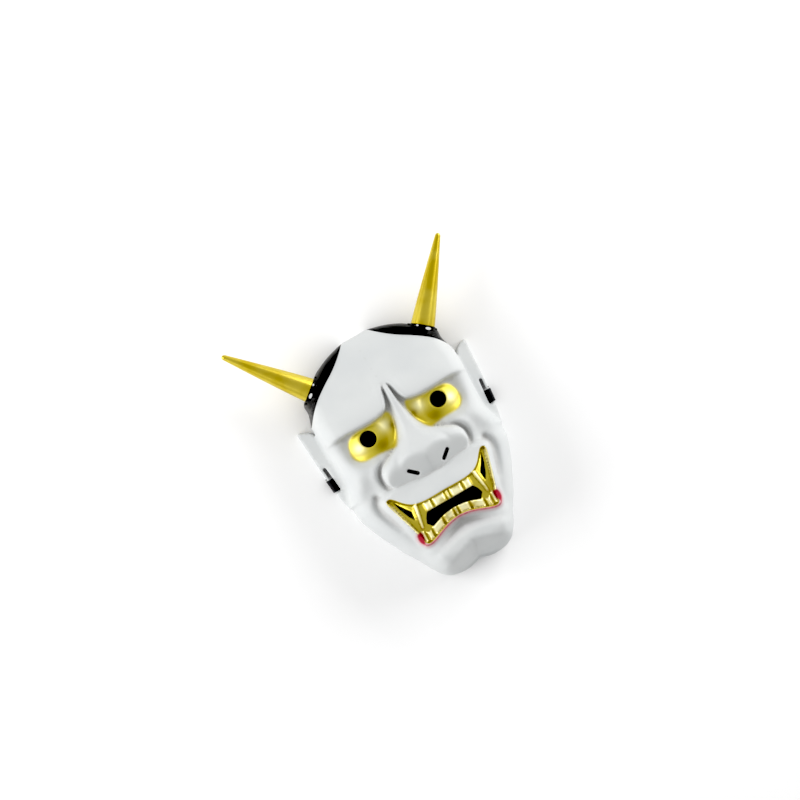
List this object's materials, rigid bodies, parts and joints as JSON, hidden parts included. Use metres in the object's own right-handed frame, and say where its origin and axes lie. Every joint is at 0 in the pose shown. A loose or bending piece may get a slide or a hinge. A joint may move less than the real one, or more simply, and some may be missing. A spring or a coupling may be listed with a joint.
{
  "type": "hannya mask",
  "caption": "Moulded plastic hannya mask: a horned demon face with bared gold teeth and gold eyes, hollow behind, with an elastic strap through its ears.",
  "frame": {"origin": "on the plane of the rim, at the middle of the mask and its horns", "axes": "+Z out of the face, +Y from the chin to the crown, +X across the face"},
  "size_m": [0.226, 0.2768, 0.083],
  "materials": {
    "white_enamel": "white sprayed plastic with gold eyes and teeth, a red lip and black hair, bare black inside",
    "gold_paint": "gold coated plastic",
    "black_elastic": "woven black elastic band"
  },
  "bodies": {
    "root": {"mask_shell": "white_enamel", "horn_left": "gold_paint", "horn_right": "gold_paint", "elastic_strap": "black_elastic"}
  },
  "joints": []
}
